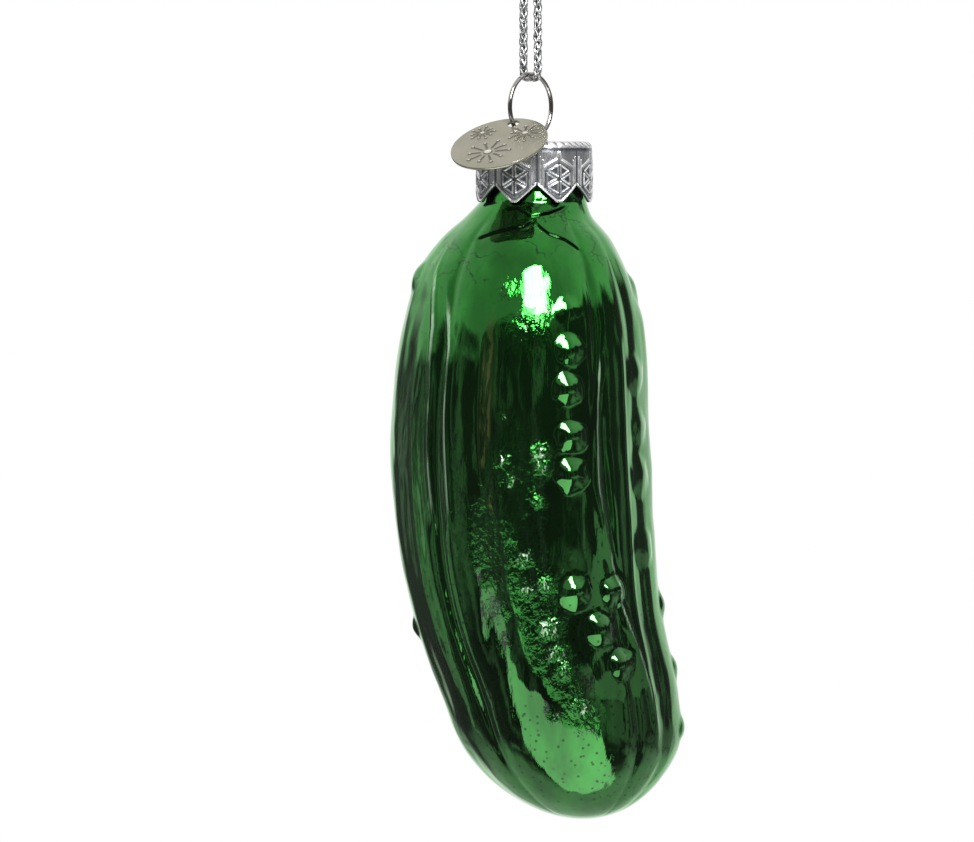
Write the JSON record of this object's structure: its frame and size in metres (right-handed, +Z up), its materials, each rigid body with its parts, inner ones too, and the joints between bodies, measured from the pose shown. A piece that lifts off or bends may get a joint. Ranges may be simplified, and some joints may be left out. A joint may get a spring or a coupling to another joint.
{
  "type": "glass pickle ornament",
  "caption": "Hollow blown glass pickle with grooves and warts, a crown cap on a sprung wire hanger, a loose round tag and a knotted loop of metallic cord to hang it by.",
  "frame": {"origin": "the hanging point, on the underside of the cord's knot, between the two strands", "axes": "+Z up along the hanging cord, +X to the right of the front view, -Y towards the front"},
  "size_m": [0.0459, 0.0387, 0.1431],
  "materials": {
    "green_glass": "silvered inside, green lacquer outside, high gloss",
    "cap_metal": "stamped, bright, lightly worn",
    "spring_wire": "polished spring wire",
    "tag_metal": "stamped, satin nickel",
    "metallic_cord": "braided silver metallic yarn"
  },
  "bodies": {
    "cord": {"hanging_cord": "metallic_cord", "cord_knot": "metallic_cord"},
    "hanger": {"spring_hanger": "spring_wire", "crown_cap": "cap_metal"},
    "tag": {"hang_tag": "tag_metal"},
    "glass": {"glass_pickle": "green_glass"}
  },
  "joints": [
    {"name": "ornament_swing", "type": "hinge", "parent": "cord", "child": "hanger", "pos_m": [0, 0, -0.01855], "axis": [0.6428, 0.766, 0], "range_deg": [-60, 60]},
    {"name": "tag_swing", "type": "hinge", "parent": "hanger", "child": "tag", "pos_m": [-0.00266, -0.00318, -0.02635], "axis": [-0.2113, -0.4532, 0.866], "range_deg": [-80, 80]},
    {"name": "cap_pull", "type": "slide", "parent": "hanger", "child": "glass", "axis": [0, 0, -1], "range_m": [0, 0.018]}
  ]
}
